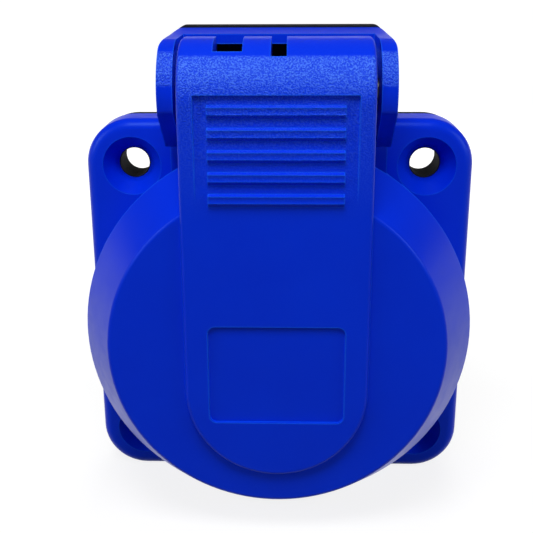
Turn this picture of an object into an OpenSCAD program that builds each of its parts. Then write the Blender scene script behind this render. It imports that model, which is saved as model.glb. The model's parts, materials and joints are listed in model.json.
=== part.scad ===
// Weatherproof panel socket with a sprung lid, a square flange and a rubber gasket behind it.
// Millimetres. The origin is the middle of the mounting plane, +Z is up and the lid faces -Y.

/* [Flange] */
// Side of the square flange
flange_size = 50; // [48:1:60]
// Thickness of the flange plate
flange_t = 5; // [4:0.5:7]
// Corner radius of the flange
flange_corner_r = 6; // [4:0.5:7]
// Rounding of the flange's front edge
flange_edge_r = 1.4; // [0.6:0.2:2]
// Distance between neighbouring screw holes
hole_pitch = 38; // [37.5:0.5:42]
// Diameter of the screw holes
hole_d = 4.1; // [3:0.1:4.5]
// Diameter of the countersinks at the flange face
countersink_d = 7.6; // [6:0.2:7.8]
// Depth of the countersinks
countersink_depth = 2.4; // [1.5:0.1:3]

/* [Gasket] */
// Thickness of the gasket behind the flange
gasket_t = 3; // [2:0.5:4]
// How far the gasket's edge lies inside the flange's edge
gasket_inset = 0.3; // [0.2:0.1:1]
// How far the gasket stands out above the hinge block
gasket_lip = 0.2; // [0.1:0.1:1]

/* [Hinge] */
// Height of the hinge axis above the flange's top edge
hinge_rise = 4.6; // [4:0.1:6]
// Distance of the hinge axis in front of the flange face
hinge_standoff = 6.5; // [6.2:0.1:7]
// Radius of the hinge ears
ear_r = 6; // [5.5:0.1:6.2]
// Thickness of one hinge ear
ear_t = 1.85; // [1.4:0.05:3]
// Slope of the lower front edge of the ears
ear_slope = 39; // [30:0.5:45]
// Where the line of that edge passes below the hinge axis
ear_undercut = 6.6; // [6:0.1:6.8]
// How far the flat underside of the ears lies below the hinge axis
ear_foot = 6.8; // [6.4:0.1:7.4]
// Height of the low walls that run from the ears to the pedestal
low_wall_h = 2.3; // [1:0.1:3]
// How much the top of the hinge block rises towards its back
block_draft = 0.4; // [0.1:0.1:0.8]
// Rounding of the hinge block's upper corners
block_corner_r = 1.25; // [0.6:0.05:1.6]
// Depth of the pocket in the back wall between the ears
back_pocket_depth = 1.5; // [1.2:0.1:2.5]
// Height of the lip above that pocket
back_lip_h = 1.2; // [0.8:0.1:1.6]
// Diameter of the hinge pin
pin_d = 3; // [2:0.1:3.4]
// How far the pin's ends lie inside the ears
pin_inset = 0.1; // [0.05:0.05:0.4]

/* [Lid] */
// Diameter of the lid at its rim
lid_rim_d = 48; // [47.4:0.2:49]
// Diameter of the lid's flat front
lid_front_d = 40.2; // [39:0.2:42]
// Distance of the rim in front of the flange face
lid_standoff = 9.5; // [9:0.1:11]
// Height of the lid's sloping side
lid_height = 6.7; // [6:0.1:8]
// Wall of the lid
lid_wall = 1.6; // [1.3:0.1:1.8]
// Rounding of the lid's front edge
lid_edge_r = 0.6; // [0.2:0.1:1.2]
// Width of the tongue that carries the lid
tongue_w = 21.8; // [20:0.2:24]
// How far the tongue stands out of the lid's front
tongue_raise = 0.9; // [0.6:0.1:1.4]
// Thickness of the tongue
tongue_t = 2.2; // [1.8:0.1:2.4]
// Rounding of the tongue's edges
tongue_edge_r = 0.5; // [0.2:0.1:0.8]
// How far the centre of the tongue's round end lies below the middle of the lid
tongue_drop = 5.2; // [3:0.2:8]
// Radius of the bend from the tongue to the top of the hood
hood_r = 6.7; // [6.4:0.1:7]
// Height of the hood's top above the hinge axis
hood_rise = 6.4; // [6.2:0.1:6.6]
// How far the hood's top reaches back from its bend
hood_reach = 2; // [1:0.1:2.2]
// Thickness of the hood's side cheeks
cheek_t = 1.6; // [1.2:0.1:2.2]
// Radius of the cheeks around the hinge pin
cheek_r = 4.2; // [3.4:0.1:4.6]
// Radius of the bosses on the cheeks that set the lid between the ears
cheek_boss_r = 2.8; // [2.4:0.1:3.2]

/* [Hood slots] */
// Width of the wide slot in the hood's top
wide_slot_w = 3.25; // [2:0.05:4]
// Length of the wide slot from the hood's back edge
wide_slot_len = 5.7; // [4:0.1:6.4]
// Offset of the wide slot to the left of the middle
wide_slot_left = 5.4; // [4:0.1:7]
// Width of the narrow slot in the hood's top
narrow_slot_w = 1.75; // [1:0.05:2.5]
// Length of the narrow slot from the hood's back edge
narrow_slot_len = 6.3; // [4:0.1:6.4]
// Offset of the narrow slot to the right of the middle
narrow_slot_right = 0.25; // [0:0.05:0.5]

/* [Grip] */
// Width of the sunk grip panel
grip_w = 18.2; // [16.4:0.2:19]
// Height of the grip panel
grip_h = 12.4; // [11.6:0.2:14]
// Depth of the grip panel at its top
grip_depth = 0.6; // [0.3:0.1:1]
// How far the grip panel's top lies above the hinge axis
grip_top = 0.9; // [0:0.1:1.5]
// Number of grip ribs
rib_count = 5; // [3:1:5]
// Distance between grip ribs
rib_pitch = 2.45; // [2:0.05:2.5]
// Length of a grip rib
rib_len = 15.2; // [12:0.2:16]
// Width of a grip rib at its foot
rib_foot_w = 1.5; // [1.2:0.05:1.9]
// Width of a grip rib at its crest
rib_crest_w = 0.8; // [0.4:0.05:1]
// Width of a grip rib's upper flank
rib_flank_w = 0.2; // [0.1:0.05:0.3]
// Height of a grip rib
rib_h = 0.55; // [0.3:0.05:0.8]
// Depth of the groove along a grip rib's crest
rib_groove = 0.15; // [0.05:0.05:0.2]
// How far the middle of the ribs lies below the middle of the panel
rib_drop = 0.55; // [0:0.05:0.7]

/* [Plate recess] */
// Width of the bare recess in the tongue
plate_w = 16.2; // [12:0.2:17]
// Height of this recess
plate_h = 12.5; // [9:0.1:13]
// Corner radius of the recess
plate_corner_r = 0.9; // [0.4:0.1:2]
// Depth of the recess
plate_depth = 0.4; // [0.2:0.1:0.8]
// How far the middle of the recess lies below the middle of the lid
plate_drop = 2.65; // [1:0.05:4]

/* [Plug well] */
// How far the lid's rim stands out past the round pedestal under it
rim_overhang = 1.2; // [0.9:0.1:2]
// Width of the ledge on the pedestal that carries the seal, around the collar
ledge_w = 1.6; // [1.2:0.1:2.2]
// Depth of the plug well
well_depth = 17.5; // [16.5:0.5:18.5]
// Wall of the collar around the well
collar_wall = 1.5; // [1.2:0.1:1.6]
// How far the collar reaches past the lid's rim
collar_overlap = 0.8; // [0.4:0.1:1]
// Thickness of the well's floor
floor_t = 2.4; // [2:0.1:3]
// Distance between the plug pins
plug_pin_pitch = 19; // [18.5:0.5:19.5]
// Diameter of the holes for the plug pins
plug_pin_hole_d = 5.5; // [5.2:0.1:5.8]
// Diameter of a plug pin
plug_pin_d = 4.8; // [4:0.1:5]
// Width of the guide ribs at the sides of the well
guide_w = 4.6; // [3:0.2:5]
// How far the guide ribs stand into the well
guide_h = 2; // [1:0.1:2.4]
// How far the guide ribs end below the collar's edge
guide_gap = 2.5; // [1:0.5:5]

/* [Lid seal] */
// Thickness of the lid seal
seal_t = 1.7; // [1.2:0.1:2.2]
// How far the lid seal stands out past the pedestal
seal_lip = 0.3; // [0:0.1:0.6]

/* [Rear body] */
// How far the round body that goes through the panel stands out past the well's bore
body_step = 1.2; // [1:0.1:1.6]
// How far this body reaches behind the mounting plane
body_depth = 8; // [7.5:0.5:8.5]
// Wall of this body
body_wall = 1.6; // [1.2:0.1:1.8]

/* [Contact base] */
// Thickness of the round plate of the contact base
base_t = 5; // [4.6:0.2:6]
// Depth of the terminal tower behind the plate
tower_depth = 14.6; // [13.6:0.2:18]
// Wall of the tower
tower_wall = 1.6; // [1.2:0.1:1.8]
// Height of the step that carries the tails of the contacts
pocket_step = 1.6; // [1:0.1:2.5]

/* [Contacts] */
// Thickness of the contact and earth strips
strip_t = 0.8; // [0.6:0.1:1]
// Wall of the contact sleeves
sleeve_wall = 0.5; // [0.4:0.05:0.7]
// Length of the contact sleeves
sleeve_len = 10; // [9:0.5:12]
// Width of the slits in the contact sleeves
slit_w = 0.8; // [0.5:0.1:1.2]
// Length of these slits
slit_len = 5; // [4:0.5:5.5]
// Width of the tail of a contact
tail_w = 6.6; // [5:0.2:7]
// Thickness of the spring rings around the sleeves
ring_t = 0.4; // [0.3:0.05:0.5]
// Width of these rings
ring_w = 1.6; // [1:0.1:2.4]
// Width of the split in these rings
ring_split = 1.4; // [0.8:0.1:2]
// Width of the earth strap
strap_w = 5; // [4:0.2:6]
// Radius of the earth strap's bends
strap_bend_r = 1.2; // [0.8:0.1:1.6]
// Distance of the earth strap's legs from the wall of the well
strap_wall_gap = 1.4; // [1.2:0.1:2]
// How far the earth fingers lean into the well
finger_lean = 2.5; // [1.5:0.1:3.5]
// Height of the earth fingers' bend above the well's floor
finger_rise = 8.4; // [6:0.2:10]
// Length of the fingers' tips past the bend
finger_tip = 2.4; // [1.6:0.1:3]

/* [Terminals] */
// Width of a terminal block
terminal_w = 7.2; // [6.8:0.1:7.4]
// Height of a terminal block
terminal_h = 7.2; // [6:0.1:8]
// Depth of a terminal block
terminal_depth = 7.2; // [6.6:0.1:8]
// Diameter of the wire holes in the terminal blocks
wire_d = 3.2; // [2.6:0.1:3.6]
// Diameter of the wire entries in the tower's bottom wall
wire_entry_d = 4.4; // [4:0.1:4.8]
// Diameter of the terminal screws' threads
terminal_screw_d = 3.4; // [3:0.1:3.6]
// Diameter of the terminal screws' heads
terminal_head_d = 5.6; // [5:0.1:6.4]
// Height of the terminal screws' heads
terminal_head_h = 2; // [1.6:0.1:2.4]

/* [Base screws] */
// How far the base screws lie inside the edge of the contact base
base_screw_inset = 3.35; // [3.2:0.05:3.6]
// Angle of the base screws above the horizontal
base_screw_angle = 40; // [38:0.5:42]
// Diameter of the base screws' threads
base_screw_d = 2.8; // [2.4:0.1:3]
// Diameter of the base screws' heads
base_head_d = 5; // [4.4:0.1:5.4]
// Height of the base screws' heads
base_head_h = 1.8; // [1.4:0.1:2.2]
// Diameter of the screw bosses behind the well's floor
boss_d = 5.8; // [5:0.1:6]
// Height of these bosses
boss_h = 3.3; // [2.5:0.1:3.6]
// Depth of the plastic that is left in front of the screws' tips
boss_end = 1.3; // [0.8:0.1:1.6]
// Width of the slots in the screw heads
screw_slot_w = 0.8; // [0.5:0.1:1]
// Depth of these slots
screw_slot_depth = 1; // [0.6:0.1:1.2]

/* [Lid spring] */
// Diameter of the spring wire
spring_wire_d = 0.9; // [0.6:0.1:1]
// Mean diameter of the spring's coil
spring_coil_d = 5.2; // [5:0.1:5.4]
// Number of whole turns of the coil
spring_turns = 4; // [3:1:4]
// Distance between turns of the coil
spring_pitch = 1.15; // [1.1:0.05:1.2]
// Offset of the spring to the right of the middle
spring_right = 5; // [4.6:0.1:5.4]
// Thickness of the rib in the hood that the spring presses on
spring_rib_t = 1.2; // [0.8:0.1:1.6]

/* [Clearances] */
// Gap between the hood and the ears
ear_gap = 0.9; // [0.4:0.1:1.2]
// Gap between the lid's bosses and the ears
side_play = 0.25; // [0.1:0.05:0.3]
// Radial clearance between the hinge pin and the lid
pin_running = 0.06; // [0.02:0.01:0.1]
// Radial clearance between the hinge pin and the ears
pin_seat = 0.01; // [0.01:0.01:0.03]
// Gap between the lid's rim and the seal
rim_gap = 0.1; // [0.05:0.05:0.3]
// Gap between the seal and the collar
seal_gap = 0.1; // [0.05:0.05:0.3]
// Gap between the body and the gasket
body_gap = 0.3; // [0.2:0.1:0.6]
// Gap between the contact base and the housing
base_gap = 0.2; // [0.1:0.05:0.3]
// Gap between the contact base and the back of the well's floor
base_seat = 0.1; // [0.05:0.05:0.2]
// Radial clearance of the plug pins in their sleeves
sleeve_gap = 0.05; // [0.02:0.01:0.1]
// Radial clearance of the spring rings on the sleeves
ring_fit = 0.03; // [0.02:0.01:0.05]
// Radial clearance of the rings in the contact base
sleeve_room = 0.3; // [0.2:0.05:0.4]
// Gap around the earth strap where it goes through a wall
strap_room = 0.3; // [0.2:0.1:0.5]
// Gap around the terminal blocks in their pockets
terminal_room = 0.3; // [0.2:0.05:0.5]
// Gap between a sleeve and the terminal block below it
sleeve_to_block = 1; // [0.6:0.1:2]
// Radial clearance of the screws in their threads
thread_gap = 0.03; // [0.02:0.01:0.05]
// Radial clearance of the screws where they pass through
screw_room = 0.2; // [0.1:0.05:0.3]
// Gap between the spring's legs and what they press on
spring_gap = 0.15; // [0.1:0.05:0.3]

/* [Hidden] */
$fn = 96;
over = 1;
wire_sides = 8;
coil_steps = 16;
bend_steps = 6;
full_turn = 360;

blue = [0.02, 0.13, 0.72];
black_rubber = [0.05, 0.05, 0.055];
base_grey = [0.16, 0.16, 0.17];
brass = [0.80, 0.63, 0.28];
bronze = [0.78, 0.66, 0.42];
steel = [0.72, 0.73, 0.74];

// Heights in front of the mounting plane
flange_back = gasket_t;
flange_front = flange_back + flange_t;
rim_z = flange_front + lid_standoff;
lid_front = rim_z + lid_height;
lid_ceiling = lid_front - lid_wall;
tongue_front = lid_front + tongue_raise;
tongue_back = tongue_front - tongue_t;
shoulder_z = rim_z - rim_gap - seal_t;
collar_top = rim_z + collar_overlap;
floor_front = collar_top - well_depth;
floor_back = floor_front - floor_t;
base_front = floor_back - base_seat;
base_back = base_front - base_t;
tower_back = base_back - tower_depth;

// Hinge and hood
hinge_y = flange_size / 2 + hinge_rise;
hinge_z = flange_front + hinge_standoff;
block_top = hinge_y + ear_r;
block_back_top = block_top + block_draft;
ear_inner = tongue_w / 2 + ear_gap;
ear_outer = ear_inner + ear_t;
hood_top = hinge_y + hood_rise;
hood_mid_y = hood_top - hood_r;
hood_mid_z = tongue_front - hood_r;
hood_back = hood_mid_z - hood_reach;
hood_inner_r = hood_r - tongue_t;
cheek_in = tongue_w / 2 - cheek_t;
boss_out = ear_inner - side_play;
grip_top_y = hinge_y + grip_top;
grip_bottom_y = grip_top_y - grip_h;
grip_lean = atan(grip_depth / grip_h);
rib_first_y = (grip_top_y + grip_bottom_y + (rib_count - 1) * rib_pitch) / 2 - rib_drop;

// Sloping side of the lid
lid_rim_r = lid_rim_d / 2;
lid_front_r = lid_front_d / 2;
side_slope = atan2(lid_height, lid_rim_r - lid_front_r);
side_wall = lid_wall / sin(side_slope);

// Round sizes, from the lid's rim inwards
pedestal_r = lid_rim_r - rim_overhang;
collar_r = pedestal_r - ledge_w;
well_r = collar_r - collar_wall;
low_wall_end = sqrt(pow(pedestal_r, 2) - pow(ear_outer, 2)) - over;
body_r = well_r + body_step;
skirt_bore_r = body_r - body_wall;
base_r = skirt_bore_r - base_gap;
base_screw_r = base_r - base_screw_inset;
sleeve_bore_r = plug_pin_d / 2 + sleeve_gap;
sleeve_r = sleeve_bore_r + sleeve_wall;
ring_bore_r = sleeve_r + ring_fit;
ring_r = ring_bore_r + ring_t;
sleeve_hole_r = ring_r + sleeve_room;
plug_pin_x = plug_pin_pitch / 2;

// Terminal tower, with its middle pocket for the earth terminal on the back of the plate
terminal_sides = [-1, 0, 1];
pocket_w = terminal_w + 2 * terminal_room;
terminal_y = -sleeve_r - sleeve_to_block - terminal_h / 2;
pocket_bottom = terminal_y - terminal_h / 2 - terminal_room;
pocket_top = sleeve_hole_r;
tower_half_w = plug_pin_x + pocket_w / 2 + tower_wall;
strap_leg = well_r - strap_wall_gap - strip_t / 2;
strap_z = base_back - strip_t / 2;
sleeve_front = base_front - base_seat;

// Ends of the spring's legs, [forward, up] from the hinge axis: in the wall's pocket and behind the hood
spring_r = spring_coil_d / 2;
leg_room = spring_wire_d / 2 + spring_gap;
spring_rib_z = hinge_z + spring_r + spring_wire_d + spring_gap;
wall_leg = [flange_front - back_pocket_depth + leg_room - hinge_z, flange_size / 2 + leg_room - hinge_y];
lid_leg = [spring_rib_z - leg_room - hinge_z, hood_top - tongue_t - leg_room - hinge_y];
coil_start = atan2(wall_leg[1], wall_leg[0]) + acos(spring_r / norm(wall_leg));
coil_end = atan2(lid_leg[1], lid_leg[0]) - acos(spring_r / norm(lid_leg)) + spring_turns * full_turn;
coil_span = (coil_end - coil_start) / full_turn * spring_pitch;

// Distance of a terminal pocket's floor, a terminal's front and its wire hole from the mounting plane
function pocket_floor(side) = base_back - abs(side) * pocket_step;
function terminal_front(side) = pocket_floor(side) - strip_t;
function terminal_wire_z(side) = terminal_front(side) - terminal_depth / 2;

// Turns a shape that is drawn with x right, y up and z towards the viewer into the part's own frame
module face_front() {
    rotate([90, 0, 0]) children();
}

// Extrudes an outline of [forward, up] sideways about the middle
module along_x(width) {
    rotate([0, -90, 0]) linear_extrude(width, center = true) children();
}

// Cylinder along x, centred
module cross_cylinder(r, len) {
    rotate([0, 90, 0]) cylinder(r = r, h = len, center = true);
}

// Half of a bar's section from its middle out, [across, forward], with a rounded front edge
module half_bar(half, thick, edge) {
    square([half - edge, thick]);
    square([half, thick - edge]);
    translate([half - edge, thick - edge]) circle(edge);
}

// Whole section of such a bar
module bar_section(half, thick, edge) {
    half_bar(half, thick, edge);
    mirror([1, 0]) half_bar(half, thick, edge);
}

// Square plate with round corners and a rounded front edge, standing forward of z = 0
module edged_plate(size, corner, thick, edge) {
    straight = size - 2 * corner;
    for (sx = [-1, 1], sy = [-1, 1])
        translate([sx * straight / 2, sy * straight / 2, 0])
            rotate_extrude() half_bar(corner, thick, edge);
    rotate([90, 0, 0]) linear_extrude(straight, center = true) bar_section(size / 2, thick, edge);
    rotate([90, 0, 90]) linear_extrude(straight, center = true) bar_section(size / 2, thick, edge);
}

// Flat rectangle with round corners
module round_rectangle(w, h, corner) {
    for (sx = [-1, 1], sy = [-1, 1])
        translate([sx * (w / 2 - corner), sy * (h / 2 - corner)]) circle(corner);
    square([w - 2 * corner, h], center = true);
    square([w, h - 2 * corner], center = true);
}

// Points of a round bend at b between the straight runs to a and to c
function bend_arc(a, b, c, r) = let (
    u = (a - b) / norm(a - b),
    v = (c - b) / norm(c - b),
    half = acos(u * v) / 2,
    mid = b + (u + v) / norm(u + v) * r / sin(half),
    from = b + u * r / tan(half) - mid,
    to = b + v * r / tan(half) - mid,
    start = atan2(from[1], from[0]),
    sweep = (atan2(to[1], to[0]) - start + 1.5 * full_turn) % full_turn - full_turn / 2
) [for (k = [0 : bend_steps]) let (a = start + sweep * k / bend_steps) mid + r * [cos(a), sin(a)]];

// Point of a strip's edge beside point i of its middle line, at the given distance from it
function edge_point(line, i, away) = let (
    back = line[max(i, 1)] - line[max(i, 1) - 1],
    on = line[min(i + 1, len(line) - 1)] - line[min(i, len(line) - 2)],
    p = [-back[1], back[0]] / norm(back),
    q = [-on[1], on[0]] / norm(on)
) line[i] + away * (p + q) / (1 + p * q);

// Flat strip of the given thickness along a list of points, with round bends
module strip_outline(points, thick, bend_r) {
    last = len(points) - 1;
    bends = [for (i = [1 : last - 1]) each bend_arc(points[i - 1], points[i], points[i + 1], bend_r)];
    line = concat([points[0]], bends, [points[last]]);
    count = len(line);
    polygon(concat([for (i = [0 : count - 1]) edge_point(line, i, thick / 2)],
        [for (i = [1 : count]) edge_point(line, count - i, -thick / 2)]));
}

module at_screw_holes() {
    for (sx = [-1, 1], sy = [-1, 1])
        translate([sx * hole_pitch / 2, sy * hole_pitch / 2, 0]) children();
}

module at_base_screws() {
    x = base_screw_r * cos(base_screw_angle);
    y = base_screw_r * sin(base_screw_angle);
    for (side = [-1, 1]) translate([side * x, y, 0]) children();
}

// Front view of the hinge block or of the gasket behind it, with round upper corners
module block_outline(half, top) {
    flat = half - block_corner_r;
    translate([-half, 0]) square([2 * half, top - block_corner_r]);
    translate([-flat, 0]) square([2 * flat, top]);
    for (side = [-1, 1]) translate([side * flat, top - block_corner_r]) circle(block_corner_r);
}

// Side view of one hinge ear, [forward, up]: round, with a sloping lower edge and a low wall at its foot
module ear_outline() {
    foot_y = hinge_y - ear_foot;
    reach = 3 * ear_r;
    difference() {
        union() {
            translate([hinge_z, hinge_y]) circle(ear_r);
            translate([flange_back, hinge_y]) square([hinge_z - flange_back, ear_r]);
            translate([flange_back, foot_y]) square([hinge_z + ear_r / 2 - flange_back, ear_foot]);
        }
        translate([hinge_z, hinge_y - ear_undercut]) rotate(ear_slope)
            translate([-reach, -reach]) square([2 * reach, reach]);
    }
    translate([flange_back, low_wall_end]) square([flange_t + low_wall_h, foot_y + over - low_wall_end]);
}

// Hinge block: the two ears with the wall between them
module hinge_block() {
    pocket_back = flange_front - back_pocket_depth;
    intersection() {
        translate([0, 0, flange_back]) linear_extrude(2 * hinge_z) block_outline(ear_outer, block_back_top);
        union() {
            for (side = [-1, 1])
                translate([side * (ear_inner + ear_outer) / 2, 0, 0]) along_x(ear_t) ear_outline();
            difference() {
                along_x(2 * ear_outer) polygon([[flange_back, 0], [flange_back, block_back_top],
                    [flange_front, block_top], [flange_front, 0]]);
                translate([-ear_inner, flange_size / 2, pocket_back])
                    cube([2 * ear_inner, block_top - back_lip_h - flange_size / 2, back_pocket_depth + over]);
            }
        }
    }
}

// Square flange with the hinge block, the round pedestal, the collar and the body behind it
module housing_shell() {
    translate([0, 0, flange_back]) edged_plate(flange_size, flange_corner_r, flange_t, flange_edge_r);
    translate([0, 0, flange_back]) cylinder(r = pedestal_r, h = shoulder_z - flange_back);
    translate([0, 0, flange_back]) cylinder(r = collar_r, h = collar_top - flange_back);
    translate([0, 0, -body_depth]) cylinder(r = body_r, h = body_depth + flange_back + over);
    hinge_block();
}

// Guide ribs at both sides of the well
module well_guides() {
    top = collar_top - guide_gap;
    for (side = [-1, 1])
        intersection() {
            translate([side * well_r, 0, (floor_front + top) / 2])
                cube([2 * guide_h, guide_w, top - floor_front], center = true);
            cylinder(r = (well_r + collar_r) / 2, h = collar_top);
        }
}

module flange_housing() {
    boss_back = floor_back - boss_h;
    thread_r = base_screw_d / 2 + thread_gap;
    slit = strip_t + 2 * strap_room;
    color(blue) face_front() {
        difference() {
            housing_shell();
            translate([0, 0, floor_front]) cylinder(r = well_r, h = collar_top - floor_front + over);
            translate([0, 0, -body_depth - over])
                cylinder(r = skirt_bore_r, h = body_depth + over + floor_back);
            at_screw_holes() {
                translate([0, 0, flange_back - over]) cylinder(d = hole_d, h = flange_t + 2 * over);
                translate([0, 0, flange_front - countersink_depth])
                    cylinder(d1 = hole_d, d2 = countersink_d, h = countersink_depth);
                translate([0, 0, flange_front]) cylinder(d = countersink_d, h = over);
            }
            for (side = [-1, 1]) {
                translate([side * plug_pin_x, 0, floor_back - over])
                    cylinder(d = plug_pin_hole_d, h = floor_t + 2 * over);
                translate([0, side * strap_leg, floor_back + floor_t / 2])
                    cube([strap_w + 2 * strap_room, slit, floor_t + 2 * over], center = true);
            }
            translate([0, hinge_y, hinge_z]) cross_cylinder(pin_d / 2 + pin_seat, 2 * ear_outer + over);
            at_base_screws() translate([0, 0, boss_back])
                cylinder(r = thread_r, h = floor_front - boss_end - boss_back);
        }
        well_guides();
        at_base_screws() difference() {
            translate([0, 0, boss_back]) cylinder(d = boss_d, h = boss_h);
            translate([0, 0, boss_back - over]) cylinder(r = thread_r, h = boss_h + 2 * over);
        }
    }
}

module flange_gasket() {
    outer = flange_size - 2 * gasket_inset;
    color(black_rubber) face_front() difference() {
        linear_extrude(gasket_t) {
            round_rectangle(outer, outer, flange_corner_r - gasket_inset);
            block_outline(ear_outer - gasket_inset, block_back_top + gasket_lip);
        }
        translate([0, 0, -over]) cylinder(r = body_r + body_gap, h = gasket_t + 2 * over);
        at_screw_holes() translate([0, 0, -over]) cylinder(d = hole_d, h = gasket_t + 2 * over);
    }
}

// Section of the round cap from its axis out, [radius, forward], with a rounded front edge
module cap_section() {
    tangent = lid_edge_r * tan(side_slope / 2);
    onto_side = [lid_front_r + tangent * cos(side_slope), lid_front - tangent * sin(side_slope)];
    polygon([[0, lid_front], [lid_front_r - tangent, lid_front], onto_side, [lid_rim_r, rim_z], [0, rim_z]]);
    translate([lid_front_r - tangent, lid_front - lid_edge_r]) circle(lid_edge_r);
}

// Section of the hollow inside the cap
module cap_hollow() {
    rim_in = lid_rim_r - side_wall;
    ceiling_r = lid_front_r - side_wall + lid_wall / tan(side_slope);
    polygon([[0, rim_z - over], [rim_in, rim_z - over], [rim_in, rim_z],
        [ceiling_r, lid_ceiling], [0, lid_ceiling]]);
}

// Section of the hood's bend, [radius, sideways], with both outer edges rounded
module hood_section(half) {
    flat = half - tongue_edge_r;
    translate([0, -half]) square([hood_r - tongue_edge_r, 2 * half]);
    translate([0, -flat]) square([hood_r, 2 * flat]);
    for (side = [-1, 1]) translate([hood_r - tongue_edge_r, side * flat]) circle(tongue_edge_r);
}

// Tongue with a round end, bent back over the hinge as a hood, as a bar with rounded edges
module tongue_and_hood() {
    half = tongue_w / 2;
    translate([0, hood_mid_y, tongue_back]) rotate([90, 0, 0])
        linear_extrude(hood_mid_y + tongue_drop) bar_section(half, tongue_t, tongue_edge_r);
    translate([0, -tongue_drop, tongue_back]) rotate_extrude() half_bar(half, tongue_t, tongue_edge_r);
    translate([0, hood_mid_y, hood_mid_z]) difference() {
        rotate([0, 90, 0]) rotate_extrude() hood_section(half);
        cross_cylinder(hood_inner_r, tongue_w + over);
        translate([-tongue_w, -2 * hood_r, -2 * hood_r]) cube([2 * tongue_w, 2 * hood_r, 4 * hood_r]);
        translate([-tongue_w, -2 * hood_r, -2 * hood_r]) cube([2 * tongue_w, 4 * hood_r, 2 * hood_r]);
    }
    translate([0, hood_top - tongue_t, hood_back])
        linear_extrude(hood_reach) bar_section(half, tongue_t, tongue_edge_r);
}

// Side view of the cheeks that close the hood and carry the pin, [forward, up]
module cheek_outline() {
    skirt_y = lid_front_r - lid_wall;
    front = tongue_front - tongue_t / 2;
    bend_r = hood_r - tongue_t / 2;
    translate([hinge_z, hinge_y]) circle(cheek_r);
    translate([rim_z, skirt_y]) square([front - rim_z, hood_mid_y - skirt_y]);
    intersection() {
        translate([hood_mid_z, hood_mid_y]) circle(bend_r);
        translate([hood_mid_z, hood_mid_y]) square(2 * hood_r);
    }
    translate([hood_back, hood_mid_y - cheek_r]) square([hood_mid_z + over - hood_back, bend_r + cheek_r]);
}

// Rib under the hood's top that takes the spring's leg, grown out of the right cheek
module spring_rib() {
    leg_x = spring_right + coil_span / 2;
    low_y = hinge_y + spring_r;
    translate([leg_x - spring_wire_d, low_y, spring_rib_z])
        cube([cheek_in + over - leg_x + spring_wire_d, hood_top - tongue_t / 2 - low_y, spring_rib_t]);
}

// Ribs on the sunk grip panel: a steep upper flank, a crest with a shallow groove and a long lower flank
module grip_ribs() {
    foot = rib_foot_w / 2;
    crest_top = foot - rib_flank_w;
    crest_low = crest_top - rib_crest_w;
    groove = [rib_h - rib_groove, (crest_low + crest_top) / 2];
    for (i = [0 : rib_count - 1]) {
        y = rib_first_y - i * rib_pitch;
        floor_z = tongue_front - (y - grip_bottom_y) * tan(grip_lean);
        translate([0, y, floor_z]) along_x(rib_len)
            polygon([[-rib_h, -foot], [0, -foot], [rib_h, crest_low], groove,
                [rib_h, crest_top], [0, foot], [-rib_h, foot]]);
    }
}

// Slot in the hood's top, open at the hood's back edge
module hood_slot(middle, width, length) {
    translate([middle - width / 2, hood_mid_y, hood_back - over]) cube([width, 2 * hood_r, length + over]);
}

module hinged_lid() {
    color(blue) face_front() {
        difference() {
            union() {
                rotate_extrude() cap_section();
                tongue_and_hood();
                for (side = [-1, 1]) {
                    translate([side * (tongue_w - cheek_t) / 2, 0, 0]) along_x(cheek_t) cheek_outline();
                    translate([side * (cheek_in + boss_out) / 2, hinge_y, hinge_z])
                        cross_cylinder(cheek_boss_r, boss_out - cheek_in);
                }
                spring_rib();
            }
            rotate_extrude() cap_hollow();
            translate([0, hinge_y, hinge_z]) cross_cylinder(pin_d / 2 + pin_running, 2 * ear_inner);
            hood_slot(-wide_slot_left, wide_slot_w, wide_slot_len);
            hood_slot(narrow_slot_right, narrow_slot_w, narrow_slot_len);
            along_x(grip_w) polygon([[tongue_front, grip_bottom_y], [tongue_front - grip_depth, grip_top_y],
                [tongue_front + over, grip_top_y], [tongue_front + over, grip_bottom_y]]);
            translate([0, -plate_drop, tongue_front - plate_depth])
                linear_extrude(plate_depth + over) round_rectangle(plate_w, plate_h, plate_corner_r);
        }
        grip_ribs();
    }
}

module lid_seal() {
    color(black_rubber) face_front() translate([0, 0, shoulder_z]) difference() {
        cylinder(r = pedestal_r + seal_lip, h = seal_t);
        translate([0, 0, -over]) cylinder(r = collar_r + seal_gap, h = seal_t + 2 * over);
    }
}

module hinge_pin() {
    color(steel) face_front() translate([0, hinge_y, hinge_z])
        cross_cylinder(pin_d / 2, 2 * (ear_outer - pin_inset));
}

// Round wire swept along a list of points, as a closed tube
module wire(points, d) {
    count = len(points);
    step = full_turn / wire_sides;
    ahead = [for (i = [0 : count - 1]) points[min(i + 1, count - 1)] - points[max(i - 1, 0)]];
    rings = [for (i = [0 : count - 1])
        let (t = ahead[i] / norm(ahead[i]), u = cross(t, [1, 0, 0]), n = u / norm(u), b = cross(t, n))
            for (k = [0 : wire_sides - 1]) points[i] + d / 2 * (cos(k * step) * n + sin(k * step) * b)];
    skin = [for (i = [0 : count - 2], k = [0 : wire_sides - 1])
        let (a = i * wire_sides + k, c = i * wire_sides + (k + 1) % wire_sides)
            [a, c, c + wire_sides, a + wire_sides]];
    first_cap = [for (k = [wire_sides - 1 : -1 : 0]) k];
    last_cap = [for (k = [0 : wire_sides - 1]) (count - 1) * wire_sides + k];
    polyhedron(points = rings, faces = concat([first_cap], skin, [last_cap]));
}

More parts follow.
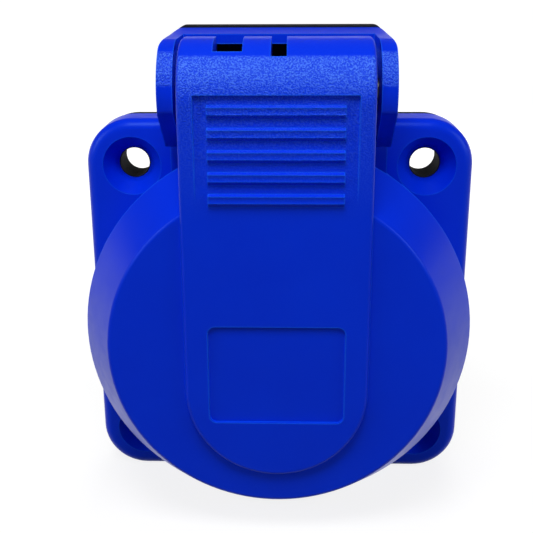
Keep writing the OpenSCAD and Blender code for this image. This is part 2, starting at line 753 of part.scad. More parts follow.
// Torsion spring around the pin, with one leg in the wall's pocket and one behind the hood's rib
module lid_spring() {
    rings = ceil((coil_end - coil_start) / full_turn * coil_steps);
    first_x = spring_right - coil_span / 2;
    coil = [for (i = [0 : rings]) let (a = coil_start + i / rings * (coil_end - coil_start))
        [first_x + i / rings * coil_span, spring_r * sin(a), spring_r * cos(a)]];
    wall_end = [first_x, wall_leg[1], wall_leg[0]];
    lid_end = [first_x + coil_span, lid_leg[1], lid_leg[0]];
    color(steel) face_front() translate([0, hinge_y, hinge_z])
        wire(concat([wall_end], coil, [lid_end]), spring_wire_d);
}

// Round plate with a tower of three terminal pockets behind it
module contact_base() {
    tower_h = pocket_top - pocket_bottom + 2 * tower_wall;
    color(base_grey) face_front() difference() {
        union() {
            translate([0, 0, base_back]) cylinder(r = base_r, h = base_t);
            intersection() {
                translate([-tower_half_w, pocket_bottom - tower_wall, tower_back])
                    cube([2 * tower_half_w, tower_h, tower_depth + over]);
                translate([0, 0, tower_back - over]) cylinder(r = base_r, h = tower_depth + 2 * over);
            }
        }
        for (side = terminal_sides) {
            translate([side * plug_pin_x - pocket_w / 2, pocket_bottom, tower_back - over])
                cube([pocket_w, pocket_top - pocket_bottom, pocket_floor(side) - tower_back + over]);
            translate([side * plug_pin_x, pocket_bottom + over, terminal_wire_z(side)]) rotate([90, 0, 0])
                cylinder(d = wire_entry_d, h = tower_wall + 2 * over);
        }
        for (side = [-1, 1]) {
            translate([side * plug_pin_x, 0, tower_back])
                cylinder(r = sleeve_hole_r, h = base_front - tower_back + over);
            translate([0, side * base_r, base_front - base_t / 2])
                cube([strap_w + 2 * strap_room, 2 * (base_r - strap_leg + strap_bend_r + strap_room),
                    base_t + 2 * over], center = true);
        }
        translate([0, 0, base_back - (strip_t + strap_room) / 2])
            cube([strap_w + 2 * strap_room, 2 * base_r, strip_t + strap_room], center = true);
        at_base_screws() {
            translate([0, 0, floor_back - boss_h - screw_room])
                cylinder(r = boss_d / 2 + screw_room, h = boss_h + over);
            translate([0, 0, base_back - over])
                cylinder(r = base_screw_d / 2 + screw_room, h = base_t + 2 * over);
        }
    }
}

// Slit sleeve for a plug pin, with a flat tail under the terminal block
module line_contact(side) {
    tail_end = terminal_y - terminal_h / 2;
    color(brass) face_front() translate([side * plug_pin_x, 0, 0]) difference() {
        union() {
            translate([0, 0, sleeve_front - sleeve_len]) cylinder(r = sleeve_r, h = sleeve_len);
            translate([-tail_w / 2, tail_end, terminal_front(side)])
                cube([tail_w, sleeve_r - tail_end, strip_t]);
        }
        translate([0, 0, sleeve_front - sleeve_len - over])
            cylinder(r = sleeve_bore_r, h = sleeve_len + 2 * over);
        for (turn = [0, 90])
            translate([0, 0, sleeve_front - slit_len / 2 + over / 2]) rotate([0, 0, turn])
                cube([slit_w, 2 * sleeve_r + over, slit_len + over], center = true);
    }
}

module left_contact() {
    line_contact(-1);
}

module right_contact() {
    line_contact(1);
}

// Split ring of spring steel that closes the slit end of a sleeve
module sleeve_spring(side) {
    color(steel) face_front() translate([side * plug_pin_x, 0, sleeve_front - slit_len / 2]) difference() {
        cylinder(r = ring_r, h = ring_w, center = true);
        cylinder(r = ring_bore_r, h = ring_w + over, center = true);
        translate([0, ring_r, 0]) cube([ring_split, 2 * ring_r, ring_w + over], center = true);
    }
}

module left_sleeve_spring() {
    sleeve_spring(-1);
}

module right_sleeve_spring() {
    sleeve_spring(1);
}

// One bent strip: across the back of the base and forward into the well as two spring fingers
module earth_strap() {
    bend_z = floor_front + finger_rise;
    bend_y = strap_leg - finger_lean;
    half = [[strap_z, strap_leg], [floor_front + strip_t, strap_leg], [bend_z, bend_y],
        [bend_z + finger_tip, bend_y + finger_tip / 2]];
    count = len(half);
    points = concat([for (i = [1 : count]) half[count - i]], [for (point = half) [point[0], -point[1]]]);
    color(bronze) face_front() along_x(strap_w) strip_outline(points, strip_t, strap_bend_r);
}

// Brass block with a wire hole from below and a clamping screw from behind
module terminal(side) {
    color(brass) face_front() translate([side * plug_pin_x, terminal_y, terminal_wire_z(side)]) difference() {
        cube([terminal_w, terminal_h, terminal_depth], center = true);
        rotate([90, 0, 0]) cylinder(d = wire_d, h = terminal_h + over, center = true);
        translate([0, 0, -terminal_depth])
            cylinder(r = terminal_screw_d / 2 + thread_gap, h = terminal_depth);
    }
}

module left_terminal() {
    terminal(-1);
}

module right_terminal() {
    terminal(1);
}

module earth_terminal() {
    terminal(0);
}

// Slotted cheese-head screw with its seat at z = 0 and its thread forward
module slotted_screw(thread_d, thread_len, head_d, head_h) {
    difference() {
        union() {
            translate([0, 0, -head_h]) cylinder(d = head_d, h = head_h);
            cylinder(d = thread_d, h = thread_len);
        }
        translate([0, 0, -head_h]) cube([head_d + over, screw_slot_w, 2 * screw_slot_depth], center = true);
    }
}

module terminal_screws() {
    thread_len = (terminal_depth - wire_d) / 2;
    color(steel) face_front() for (side = terminal_sides)
        translate([side * plug_pin_x, terminal_y, terminal_front(side) - terminal_depth])
            slotted_screw(terminal_screw_d, thread_len, terminal_head_d, terminal_head_h);
}

module base_screws() {
    thread_len = floor_front - boss_end - screw_room - base_back;
    color(steel) face_front() at_base_screws() translate([0, 0, base_back])
        slotted_screw(base_screw_d, thread_len, base_head_d, base_head_h);
}

flange_housing();
flange_gasket();
hinged_lid();
lid_seal();
hinge_pin();
lid_spring();
contact_base();
left_contact();
right_contact();
left_sleeve_spring();
right_sleeve_spring();
earth_strap();
left_terminal();
right_terminal();
earth_terminal();
terminal_screws();
base_screws();
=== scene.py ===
"""Looks of the weatherproof panel socket: its mouldings, gasket lips, finishes, camera, light and floor."""
import json
import math

import bpy
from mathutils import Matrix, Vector


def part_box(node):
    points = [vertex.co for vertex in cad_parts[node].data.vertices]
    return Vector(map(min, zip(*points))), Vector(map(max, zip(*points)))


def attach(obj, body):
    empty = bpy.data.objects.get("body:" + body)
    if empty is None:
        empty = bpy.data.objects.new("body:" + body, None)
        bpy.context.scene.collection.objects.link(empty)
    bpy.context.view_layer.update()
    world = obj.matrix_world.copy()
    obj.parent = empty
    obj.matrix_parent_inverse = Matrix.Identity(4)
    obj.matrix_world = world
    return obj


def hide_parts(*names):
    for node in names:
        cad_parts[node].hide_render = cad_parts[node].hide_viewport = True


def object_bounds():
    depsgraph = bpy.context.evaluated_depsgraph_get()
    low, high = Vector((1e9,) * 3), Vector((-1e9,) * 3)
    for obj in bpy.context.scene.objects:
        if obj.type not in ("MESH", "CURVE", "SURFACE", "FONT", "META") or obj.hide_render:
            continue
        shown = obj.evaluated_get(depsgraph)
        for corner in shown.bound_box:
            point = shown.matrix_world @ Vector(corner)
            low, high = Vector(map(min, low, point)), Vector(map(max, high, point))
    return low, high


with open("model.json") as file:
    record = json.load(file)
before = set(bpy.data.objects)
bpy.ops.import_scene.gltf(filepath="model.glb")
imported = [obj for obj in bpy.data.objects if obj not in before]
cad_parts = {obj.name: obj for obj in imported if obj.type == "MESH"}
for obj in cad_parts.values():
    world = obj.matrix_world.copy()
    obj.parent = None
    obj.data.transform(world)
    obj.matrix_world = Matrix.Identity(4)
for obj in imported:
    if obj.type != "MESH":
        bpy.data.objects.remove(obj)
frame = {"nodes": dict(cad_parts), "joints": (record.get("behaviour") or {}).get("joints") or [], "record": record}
cad_low, cad_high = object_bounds()
NODES = frame["nodes"]
SCENE = bpy.context.scene
SCENE.view_settings.view_transform = "Standard"
MM = 0.001

# Camera: place, lens, sensor and near limit in millimetres, turn in degrees
CAMERA_PLACE = (2.004, -125.282, 45.009)
CAMERA_TURN = (71.3243, 0.2777, 1.6886)
CAMERA_LENS = 62.61
CAMERA_SENSOR = 36.0
CAMERA_NEAR = 5

# Lamps: name, place and aim in millimetres, side of the square in millimetres, watts
FRONT_LAMPS = (
    ("overhead_lamp", (-15, -105, 188), (0, -18, 20), 84, 0.27),
    ("left_lamp", (-260, -120, 120), (0, -20, 5), 140, 0.25),
    ("right_lamp", (260, -120, 120), (0, -20, 5), 140, 0.24),
)
BACK_LAMP = ("back_lamp", (40, 280, 110), (0, 0, 5), 160, 0.5)

# Sky, by the sine of the angle above the horizon: where its light falls off, from and to which strength,
# and where the white that is seen ends
LIGHT_FROM, LIGHT_TO = 0.03, 0.12
HORIZON_LIGHT, ROOM_LIGHT = 0.4, 0.1
WHITE_FROM, WHITE_TO = 0.1, 0.22

# Floor, in millimetres: its side, the distances between which the white that it shows rises, and from
# and to which strength
FLOOR_SIDE = 40000
FLOOR_NEAR, FLOOR_FAR = 40, 160
NEAR_WHITE, FAR_WHITE = 0.84, 1.0

# Landmarks of the mouldings, in millimetres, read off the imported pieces
HINGE_Z = frame["joints"][0]["pos_m"][2] / MM
LID_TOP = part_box("hinged_lid")[1].z / MM
HALF_FLANGE = cad_high.x / MM

# Where the tool's grain starts and ends, in millimetres: on the ears, on the tongue and on the hood's bend
EAR_GRAIN_LOW = HINGE_Z + 1.25
TONGUE_GRAIN_LOW = HINGE_Z - 5
TONGUE_GRAIN_FADE = 8
HOOD_GRAIN_HIGH = LID_TOP - 1.6
TONGUE_GRAIN_SIDE = 10.8
GRAIN_FADE = 0.15

# Share of the grain that is left where the tool is polished
POLISHED_GRAIN = 0.03

# Width of the painted highlight along the mouldings' edges, a pale line, in millimetres
EDGE_SHEEN = 0.3

# Painted highlight on the hood's bend, where the grain's peaks are drawn paler, in millimetres: it rises from the
# first height, and is full above the second
SHEEN_LOW = HINGE_Z + 0.5
SHEEN_HIGH = HINGE_Z + 3

# Patterns of the finishes, in millimetres: how wide they are, and how deep their relief is
GRAIN_WIDTH, GRAIN_DEPTH = 0.19, 0.15
FLOW_WIDTH = 9
CLOUD_WIDTH = 1.6
SKIN_WIDTH, SKIN_DEPTH = 0.4, 0.06
MOTTLE_WIDTH, MOTTLE_DEPTH = 0.7, 0.02
TARNISH_WIDTH = 2.5
STREAK_DEPTH = 0.01

# Metal's streaks: the scale along X, so that they are ten times as long as wide
STREAK_STRETCH = (0.1, 1.0, 1.0)

# Values between which a noise mostly lies
NOISE_LOW, NOISE_HIGH = 0.3, 0.7

# Sockets of a mix of two colours: share, first colour and second colour, and the mixed colour
SHARE, FIRST, SECOND = 0, 6, 7
MIXED = 2

# Copies of the mouldings: points closer than this many millimetres are one, faces that meet flatter than
# the first angle are one, and corners flatter than the second are shaded smooth
MERGE_GAP = 0.001
FLAT_ANGLE = math.radians(0.3)
SMOOTH_ANGLE = math.radians(40)

# Rounding of the lid's corners: its width in millimetres, on corners sharper than this angle that have
# this many widths to the next corner
LID_EDGE = 0.12
SHARP_CORNER = math.radians(35)
CORNER_ROOM = 2.2
CORNER_STEPS = 2

# Windows in the wall behind the hood's slots, in millimetres: middle and width of each, the height they
# share, how deep they are cut, and how far past the gasket's front the cut reaches
WINDOWS = ((-5.4, 5.25), (0.25, 3.75))
WINDOW_LOW = HINGE_Z - 0.8
WINDOW_HIGH = HINGE_Z + 4.8
WINDOW_DEPTH = 5.4
WINDOW_BACK = 0.2

# Lips of the gasket in the screw holes, in millimetres, and how many sides make their round
COUNTERSINK_BOTTOM = 5.5
LIP_WALL = 0.12
LIP_GAP = 0.01
LIP_SIDES = 48

# A face is an end of a lip where its normal lies this far along the hole
END_NORMAL = 0.9


def millimetres(point):
    """A point or size in metres from one in millimetres."""
    return [value * MM for value in point]


def to_linear(hex_colour):
    """Linear RGBA from an sRGB hex colour."""
    parts = [int(hex_colour[i:i + 2], 16) / 255 for i in (1, 3, 5)]
    return [p / 12.92 if p <= 0.04045 else ((p + 0.055) / 1.055) ** 2.4 for p in parts] + [1.0]


def per_mm(size):
    """Texture scale whose features are about this many millimetres wide on Object coordinates."""
    return 1 / (size * MM)


def add(tree, kind, inputs, **settings):
    """One node with its settings. An input is a value, or an output that is linked to it."""
    made = tree.nodes.new(kind)
    for name, value in settings.items():
        setattr(made, name, value)
    for name, value in inputs.items():
        if isinstance(value, bpy.types.NodeSocket):
            tree.links.new(value, made.inputs[name])
        else:
            made.inputs[name].default_value = value
    return made.outputs


def new_material(name):
    """Empty material, with its node tree and its place on the piece."""
    material = bpy.data.materials.new(name)
    material.use_nodes = True
    material.node_tree.nodes.clear()
    place = add(material.node_tree, "ShaderNodeTexCoord", {})["Object"]
    return material, material.node_tree, place


def blue_polyamide(name, grain_low, low_fade, grain_high, grain_side):
    """Polyamide moulded in a spark-eroded tool: saturated blue, satin, with a fine grain that sparkles.

    The grain lies between two heights and within a distance to each side, in millimetres. It is drawn a
    little coarser than the real one, so that it shows. Elsewhere the tool is polished and leaves a calmer
    skin. The grain's peaks carry a painted highlight, a paler blue that is strongest on the hood's bend,
    and the edges carry a painted highlight as a paler line."""
    material, tree, place = new_material(name)
    spot = add(tree, "ShaderNodeSeparateXYZ", {"Vector": place})
    above = add(tree, "ShaderNodeMapRange", {
        "Value": spot["Z"],
        "From Min": (grain_low - low_fade) * MM, "From Max": (grain_low + low_fade) * MM,
        "To Min": POLISHED_GRAIN, "To Max": 1.0})["Result"]
    below = add(tree, "ShaderNodeMapRange", {
        "Value": spot["Z"],
        "From Min": (grain_high - GRAIN_FADE) * MM, "From Max": (grain_high + GRAIN_FADE) * MM,
        "To Min": 1.0, "To Max": POLISHED_GRAIN})["Result"]
    aside = add(tree, "ShaderNodeMath", {0: spot["X"]}, operation="ABSOLUTE")[0]
    within = add(tree, "ShaderNodeMapRange", {
        "Value": aside,
        "From Min": (grain_side - GRAIN_FADE) * MM, "From Max": grain_side * MM,
        "To Min": 1.0, "To Max": POLISHED_GRAIN})["Result"]
    across = add(tree, "ShaderNodeMath", {0: above, 1: within}, operation="MULTIPLY")[0]
    grained = add(tree, "ShaderNodeMath", {0: across, 1: below}, operation="MULTIPLY")[0]
    grain = add(tree, "ShaderNodeTexNoise", {
        "Vector": place, "Scale": per_mm(GRAIN_WIDTH), "Detail": 1.0, "Roughness": 0.4})["Fac"]
    relief = add(tree, "ShaderNodeBump", {
        "Height": grain, "Distance": GRAIN_DEPTH * MM, "Strength": grained})["Normal"]

    # The melt's flow shifts the blue a little, and the grain's peaks are drawn paler: a painted highlight for the
    # grain's sparkle, strongest on the hood's bend
    flow = add(tree, "ShaderNodeTexNoise", {
        "Vector": place, "Scale": per_mm(FLOW_WIDTH), "Detail": 3.0})["Fac"]
    skin = add(tree, "ShaderNodeMix", {
        SHARE: flow, FIRST: to_linear("#002ADA"), SECOND: to_linear("#0032E6")}, data_type="RGBA")[MIXED]
    sheen_specks = add(tree, "ShaderNodeMapRange", {
        "Value": grain, "From Min": 0.42, "From Max": 0.66, "To Min": 0.14, "To Max": 0.9})["Result"]
    # Painted highlight: the pale peaks are weaker low on the tongue and full on the hood's bend
    sheen_band = add(tree, "ShaderNodeMapRange", {
        "Value": spot["Z"], "From Min": SHEEN_LOW * MM, "From Max": SHEEN_HIGH * MM,
        "To Min": 0.35, "To Max": 1.0})["Result"]
    sheen_share = add(tree, "ShaderNodeMath", {0: sheen_specks, 1: sheen_band}, operation="MULTIPLY")[0]
    pale = add(tree, "ShaderNodeMath", {0: sheen_share, 1: grained}, operation="MULTIPLY")[0]
    grain_with_sheen = add(tree, "ShaderNodeMix", {
        SHARE: pale, FIRST: skin, SECOND: to_linear("#4C7CFA")}, data_type="RGBA")[MIXED]

    # An edge is where the rounded normal turns away from the face's own, and there a paler blue is mixed in as a
    # painted highlight
    rounded = add(tree, "ShaderNodeBevel", {"Radius": EDGE_SHEEN * MM}, samples=6)[0]
    flat = add(tree, "ShaderNodeNewGeometry", {})["Normal"]
    turn = add(tree, "ShaderNodeVectorMath", {0: rounded, 1: flat}, operation="DOT_PRODUCT")["Value"]
    edge = add(tree, "ShaderNodeMapRange", {
        "Value": turn, "From Min": 0.97, "From Max": 0.85, "To Min": 0.0, "To Max": 0.7})["Result"]
    colour = add(tree, "ShaderNodeMix", {
        SHARE: edge, FIRST: grain_with_sheen, SECOND: to_linear("#1668F4")}, data_type="RGBA")[MIXED]
    cloud = add(tree, "ShaderNodeTexNoise", {
        "Vector": place, "Scale": per_mm(CLOUD_WIDTH), "Detail": 2.0})["Fac"]
    rough = add(tree, "ShaderNodeMapRange", {
        "Value": cloud, "From Min": NOISE_LOW, "From Max": NOISE_HIGH,
        "To Min": 0.3, "To Max": 0.36})["Result"]
    shader = add(tree, "ShaderNodeBsdfPrincipled", {
        "Base Color": colour, "Roughness": rough, "Normal": relief, "IOR": 1.5, "Specular IOR Level": 0.16,
        "Specular Tint": (0.4, 0.86, 1.0, 1.0)})[0]
    add(tree, "ShaderNodeOutputMaterial", {"Surface": shader})
    return material


def black_rubber():
    """Black rubber cut from sheet: dull, with a cloudy skin.

    The skin is drawn coarser than the real one, so that it shows."""
    material, tree, place = new_material("black_rubber")
    skin = add(tree, "ShaderNodeTexNoise", {
        "Vector": place, "Scale": per_mm(SKIN_WIDTH), "Detail": 4.0, "Roughness": 0.7})["Fac"]
    colour = add(tree, "ShaderNodeMix", {
        SHARE: skin, FIRST: to_linear("#08090B"), SECOND: to_linear("#17191D")}, data_type="RGBA")[MIXED]
    rough = add(tree, "ShaderNodeMapRange", {
        "Value": skin, "From Min": NOISE_LOW, "From Max": NOISE_HIGH,
        "To Min": 0.85, "To Max": 0.7})["Result"]
    relief = add(tree, "ShaderNodeBump", {
        "Height": skin, "Distance": SKIN_DEPTH * MM, "Strength": 0.5})["Normal"]
    shader = add(tree, "ShaderNodeBsdfPrincipled", {
        "Base Color": colour, "Roughness": rough, "Normal": relief, "Specular IOR Level": 0.2})[0]
    add(tree, "ShaderNodeOutputMaterial", {"Surface": shader})
    return material


def dark_phenolic():
    """Dark moulded thermoset: faintly mottled, with a low even gloss."""
    material, tree, place = new_material("dark_phenolic")
    mottle = add(tree, "ShaderNodeTexNoise", {
        "Vector": place, "Scale": per_mm(MOTTLE_WIDTH), "Detail": 4.0, "Roughness": 0.7})["Fac"]
    colour = add(tree, "ShaderNodeMix", {
        SHARE: mottle, FIRST: to_linear("#232426"), SECOND: to_linear("#353639")}, data_type="RGBA")[MIXED]
    rough = add(tree, "ShaderNodeMapRange", {
        "Value": mottle, "From Min": NOISE_LOW, "From Max": NOISE_HIGH,
        "To Min": 0.5, "To Max": 0.42})["Result"]
    relief = add(tree, "ShaderNodeBump", {
        "Height": mottle, "Distance": MOTTLE_DEPTH * MM, "Strength": 0.4})["Normal"]
    shader = add(tree, "ShaderNodeBsdfPrincipled", {
        "Base Color": colour, "Roughness": rough, "Normal": relief, "IOR": 1.6})[0]
    add(tree, "ShaderNodeOutputMaterial", {"Surface": shader})
    return material


def drawn_metal(name, dark, light, rough_low, rough_high, streak_width):
    """Drawn metal: streaks along X that vary in gloss, under a cloudy tarnish between two colours.

    The streaks are drawn coarser than a die leaves them, so that they show. Their width is in millimetres."""
    material, tree, place = new_material(name)
    drawn = add(tree, "ShaderNodeMapping", {"Vector": place, "Scale": STREAK_STRETCH})["Vector"]
    streaks = add(tree, "ShaderNodeTexNoise", {
        "Vector": drawn, "Scale": per_mm(streak_width), "Detail": 4.0, "Roughness": 0.65})["Fac"]
    tarnish = add(tree, "ShaderNodeTexNoise", {
        "Vector": place, "Scale": per_mm(TARNISH_WIDTH), "Detail": 3.0})["Fac"]
    colour = add(tree, "ShaderNodeMix", {
        SHARE: tarnish, FIRST: to_linear(dark), SECOND: to_linear(light)}, data_type="RGBA")[MIXED]
    rough = add(tree, "ShaderNodeMapRange", {
        "Value": streaks, "From Min": NOISE_LOW, "From Max": NOISE_HIGH,
        "To Min": rough_low, "To Max": rough_high})["Result"]
    relief = add(tree, "ShaderNodeBump", {
        "Height": streaks, "Distance": STREAK_DEPTH * MM, "Strength": 0.3})["Normal"]
    shader = add(tree, "ShaderNodeBsdfPrincipled", {
        "Base Color": colour, "Roughness": rough, "Normal": relief, "Metallic": 1.0})[0]
    add(tree, "ShaderNodeOutputMaterial", {"Surface": shader})
    return material


def make_finishes():
    """Every piece's finish, by the node's name."""
    rubber = black_rubber()
    # Brass is warm and yellow, zinc is pale and cool, and bare spring wire is greyer
    brass = drawn_metal("turned_brass", "#B98F3E", "#D8B563", 0.22, 0.36, 0.15)
    steel = drawn_metal("zinc_plated_steel", "#A9ADB2", "#C9CCD0", 0.24, 0.38, 0.12)
    spring = drawn_metal("spring_steel", "#8B8E92", "#B2B5B9", 0.2, 0.34, 0.1)
    return {
        "flange_housing": blue_polyamide(
            "blue_polyamide_housing", EAR_GRAIN_LOW, GRAIN_FADE, HOOD_GRAIN_HIGH, HALF_FLANGE),
        "hinged_lid": blue_polyamide(
            "blue_polyamide_lid", TONGUE_GRAIN_LOW, TONGUE_GRAIN_FADE, HOOD_GRAIN_HIGH, TONGUE_GRAIN_SIDE),
        "flange_gasket": rubber,
        "lid_seal": rubber,
        "contact_base": dark_phenolic(),
        "left_contact": brass,
        "right_contact": brass,
        "left_terminal": brass,
        "right_terminal": brass,
        "earth_terminal": brass,
        # Bronze strip is less yellow than the brass
        "earth_strap": drawn_metal("bronze_strip", "#B08A50", "#CDAA6C", 0.24, 0.38, 0.1),
        "left_sleeve_spring": spring,
        "right_sleeve_spring": spring,
        "lid_spring": spring,
        # The hinge pin's steel is drawn dark and dull as painted shade, so that it stays as dark as the gap it
        # sits in
        "hinge_pin": drawn_metal("shade_darkened_steel", "#45474A", "#5B5D60", 0.34, 0.46, 0.12),
        "terminal_screws": steel,
        "base_screws": steel,
    }


def select_corners(mesh, edge):
    """Select the outer corners that are sharp and have room for a rounding of this many millimetres."""
    sides = {}
    for face in mesh.polygons:
        ring = list(face.vertices)
        for start, end in zip(ring, ring[1:] + ring[:1]):
            run = mesh.vertices[end].co - mesh.vertices[start].co
            sides.setdefault(tuple(sorted((start, end))), []).append((face.normal, run))
    room = [math.inf] * len(mesh.vertices)
    for (start, end), pair in sides.items():
        length = pair[0][1].length
        room[start] = min(room[start], length)
        room[end] = min(room[end], length)
    for line in mesh.edges:
        (normal, run), (other, _) = sides[tuple(sorted(line.vertices))]
        sharp = normal.angle(other) > SHARP_CORNER
        outer = other.dot(normal.cross(run)) < 0
        roomy = min(room[point] for point in line.vertices) > CORNER_ROOM * edge * MM
        line.select = sharp and outer and roomy


def moulding_copy(node):
    """Copy of a moulded node with its triangles merged into one skin."""
    bpy.ops.object.select_all(action="DESELECT")
    piece = NODES[node].copy()
    piece.data = NODES[node].data.copy()
    piece.name = piece.data.name = node + "_moulding"
    SCENE.collection.objects.link(piece)
    piece.parent = None
    piece.select_set(True)
    bpy.context.view_layer.objects.active = piece
    bpy.ops.mesh.customdata_custom_splitnormals_clear()
    bpy.ops.object.mode_set(mode="EDIT")
    bpy.ops.mesh.select_mode(type="EDGE")
    bpy.ops.mesh.select_all(action="SELECT")
    bpy.ops.mesh.remove_doubles(threshold=MERGE_GAP * MM)
    bpy.ops.object.mode_set(mode="OBJECT")
    return piece


def open_windows(piece):
    """Cut the windows through the wall behind the hood's slots, so that the gasket's tab shows in them."""
    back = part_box("flange_gasket")[0].y / MM + WINDOW_BACK
    for middle, width in WINDOWS:
        bpy.ops.object.select_all(action="DESELECT")
        bpy.ops.mesh.primitive_cube_add(
            size=1,
            location=millimetres((middle, back - WINDOW_DEPTH / 2, (WINDOW_LOW + WINDOW_HIGH) / 2)),
            scale=millimetres((width, WINDOW_DEPTH, WINDOW_HIGH - WINDOW_LOW)))
        opening = bpy.context.object
        cut = piece.modifiers.new("window", "BOOLEAN")
        cut.object = opening
        bpy.context.view_layer.objects.active = piece
        bpy.ops.object.modifier_apply(modifier=cut.name)
        bpy.data.objects.remove(opening)


def round_corners(piece, edge):
    """Round a moulding's outer corners, as its mould leaves them. The edge is in millimetres."""
    bpy.ops.object.select_all(action="DESELECT")
    piece.select_set(True)
    bpy.context.view_layer.objects.active = piece
    bpy.ops.object.mode_set(mode="EDIT")
    bpy.ops.mesh.select_mode(type="EDGE")
    bpy.ops.mesh.select_all(action="SELECT")
    bpy.ops.mesh.dissolve_limited(angle_limit=FLAT_ANGLE)
    bpy.ops.mesh.select_all(action="DESELECT")
    bpy.ops.object.mode_set(mode="OBJECT")
    select_corners(piece.data, edge)
    bpy.ops.object.mode_set(mode="EDIT")
    bpy.ops.mesh.bevel(offset=edge * MM, segments=CORNER_STEPS, clamp_overlap=True)
    bpy.ops.object.mode_set(mode="OBJECT")


def shade(piece):
    """Smooth shading that keeps the flat faces flat and the sharp corners sharp."""
    bpy.ops.object.select_all(action="DESELECT")
    piece.select_set(True)
    bpy.context.view_layer.objects.active = piece
    bpy.ops.object.shade_smooth_by_angle(angle=SMOOTH_ANGLE)
    weigh = piece.modifiers.new("normals", "WEIGHTED_NORMAL")
    weigh.keep_sharp = True
    bpy.ops.object.modifier_apply(modifier=weigh.name)


def make_mouldings():
    """The two blue mouldings, in place of their nodes: the housing has its windows, the lid soft corners."""
    housing = moulding_copy("flange_housing")
    open_windows(housing)
    lid = moulding_copy("hinged_lid")
    round_corners(lid, LID_EDGE)
    for piece, node, body in ((housing, "flange_housing", "housing"), (lid, "hinged_lid", "lid")):
        shade(piece)
        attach(piece, body)
        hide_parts(node)
    return {"flange_housing": housing, "hinged_lid": lid}


def gasket_lips():
    """The gasket's lips that line the four screw holes, from the gasket to the countersinks."""
    holes = frame["record"]["mounts"][0]["dims"]
    radius = holes["hole_r_mm"] - LIP_GAP
    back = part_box("flange_gasket")[0].y / MM
    length = COUNTERSINK_BOTTOM + back
    bpy.ops.object.select_all(action="DESELECT")
    bpy.ops.mesh.primitive_cylinder_add(
        vertices=LIP_SIDES, radius=radius * MM, depth=length * MM, end_fill_type="NGON")
    lip = bpy.context.object
    lip.name = lip.data.name = "gasket_screw_lips"
    bpy.ops.object.mode_set(mode="EDIT")
    bpy.ops.mesh.select_mode(type="FACE")
    bpy.ops.mesh.select_all(action="DESELECT")
    bpy.ops.object.mode_set(mode="OBJECT")
    for face in lip.data.polygons:
        face.select = abs(face.normal.z) > END_NORMAL
    bpy.ops.object.mode_set(mode="EDIT")
    bpy.ops.mesh.inset(thickness=LIP_WALL * MM)
    bpy.ops.mesh.bridge_edge_loops()
    bpy.ops.object.mode_set(mode="OBJECT")
    middle_y = back - length / 2
    half_x, half_z = holes["spacing_x_mm"] / 2, holes["spacing_y_mm"] / 2
    lip.rotation_euler.x = math.pi / 2
    lip.location = millimetres((-half_x, middle_y, -half_z))
    for x, z in ((half_x, -half_z), (-half_x, half_z), (half_x, half_z)):
        copy = lip.copy()
        copy.data = lip.data.copy()
        copy.location = millimetres((x, middle_y, z))
        SCENE.collection.objects.link(copy)
        copy.select_set(True)
    bpy.ops.object.join()
    bpy.ops.object.transform_apply(location=True, rotation=True, scale=True)
    bpy.ops.object.shade_smooth_by_angle(angle=SMOOTH_ANGLE)
    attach(lip, "housing")
    return lip


def make_camera():
    """Camera at the photograph's viewing angle."""
    turn = [math.radians(angle) for angle in CAMERA_TURN]
    bpy.ops.object.camera_add(location=millimetres(CAMERA_PLACE), rotation=turn)
    camera = bpy.context.object
    camera.data.sensor_width = CAMERA_SENSOR
    camera.data.lens = CAMERA_LENS
    camera.data.clip_start = CAMERA_NEAR * MM
    SCENE.camera = camera


def area_light(name, place, aim, size, watts):
    """Square lamp at a place in millimetres, turned towards a point."""
    bpy.ops.object.light_add(type="AREA", location=millimetres(place))
    lamp = bpy.context.object
    lamp.name = name
    lamp.rotation_euler = (Vector(aim) - Vector(place)).to_track_quat("-Z", "Y").to_euler()
    lamp.data.size = size * MM
    lamp.data.energy = watts
    return lamp


def seen_rays(tree):
    """1 for the rays that show a surface: to the camera, in a reflection or through a clear piece."""
    path = add(tree, "ShaderNodeLightPath", {})
    mirrored = add(tree, "ShaderNodeMath", {
        0: path["Is Glossy Ray"], 1: path["Is Transmission Ray"]}, operation="MAXIMUM")[0]
    return add(tree, "ShaderNodeMath", {0: path["Is Camera Ray"], 1: mirrored}, operation="MAXIMUM")[0]


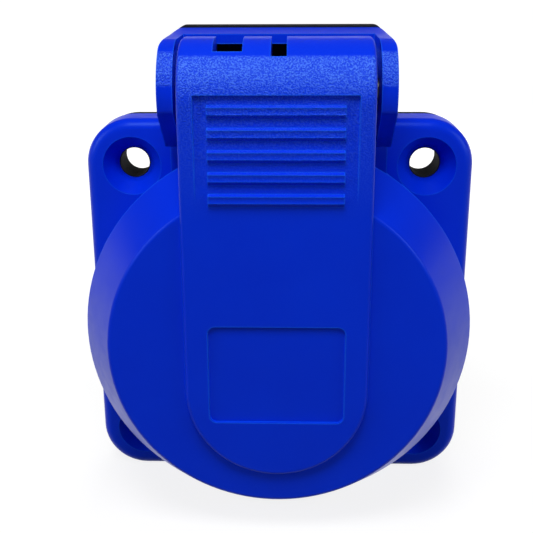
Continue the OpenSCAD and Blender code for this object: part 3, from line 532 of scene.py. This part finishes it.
def make_light():
    """Soft lamps overhead, at each side and behind, and a dim room whose horizon shows white."""
    for lamp in FRONT_LAMPS:
        area_light(*lamp)
    # The lamp behind lights the back, and the blue skin doesn't mirror it
    area_light(*BACK_LAMP).visible_glossy = False
    world = bpy.data.worlds.new("studio")
    world.use_nodes = True
    SCENE.world = world
    tree = world.node_tree
    tree.nodes.clear()
    sky = add(tree, "ShaderNodeTexCoord", {})["Generated"]
    height = add(tree, "ShaderNodeSeparateXYZ", {"Vector": sky})["Z"]
    light = add(tree, "ShaderNodeMapRange", {
        "Value": height, "From Min": LIGHT_FROM, "From Max": LIGHT_TO,
        "To Min": HORIZON_LIGHT, "To Max": ROOM_LIGHT})["Result"]
    white = add(tree, "ShaderNodeMapRange", {
        "Value": height, "From Min": WHITE_FROM, "From Max": WHITE_TO,
        "To Min": 1.0, "To Max": 0.0})["Result"]
    shown = add(tree, "ShaderNodeMath", {0: seen_rays(tree), 1: white}, operation="MULTIPLY")[0]
    level = add(tree, "ShaderNodeMath", {0: light, 1: shown}, operation="MAXIMUM")[0]
    sky_light = add(tree, "ShaderNodeBackground", {"Color": (1, 1, 1, 1), "Strength": level})[0]
    add(tree, "ShaderNodeOutputWorld", {"Surface": sky_light})


def make_floor():
    """Pale painted floor that shows white to the camera and in reflections, and keeps the shadow."""
    bpy.ops.mesh.primitive_plane_add(size=FLOOR_SIDE * MM, location=(0, 0, cad_low.z))
    floor = bpy.context.object
    floor.name = "floor"
    material, tree, place = new_material("pale_floor")
    away = add(tree, "ShaderNodeVectorMath", {0: place}, operation="LENGTH")["Value"]
    pale = add(tree, "ShaderNodeMapRange", {
        "Value": away, "From Min": FLOOR_NEAR * MM, "From Max": FLOOR_FAR * MM,
        "To Min": NEAR_WHITE, "To Max": FAR_WHITE})["Result"]
    white = add(tree, "ShaderNodeMath", {0: seen_rays(tree), 1: pale}, operation="MULTIPLY")[0]
    glow = add(tree, "ShaderNodeEmission", {"Strength": white})[0]
    paint = add(tree, "ShaderNodeBsdfDiffuse", {"Color": to_linear("#808080")})[0]
    shader = add(tree, "ShaderNodeAddShader", {0: paint, 1: glow})[0]
    add(tree, "ShaderNodeOutputMaterial", {"Surface": shader})
    floor.data.materials.append(material)


make_camera()
finishes = make_finishes()
mouldings = make_mouldings()
for name, finish in finishes.items():
    piece = mouldings.get(name, NODES[name])
    piece.data.materials.clear()
    piece.data.materials.append(finish)
gasket_lips().data.materials.append(finishes["flange_gasket"])
make_light()
make_floor()
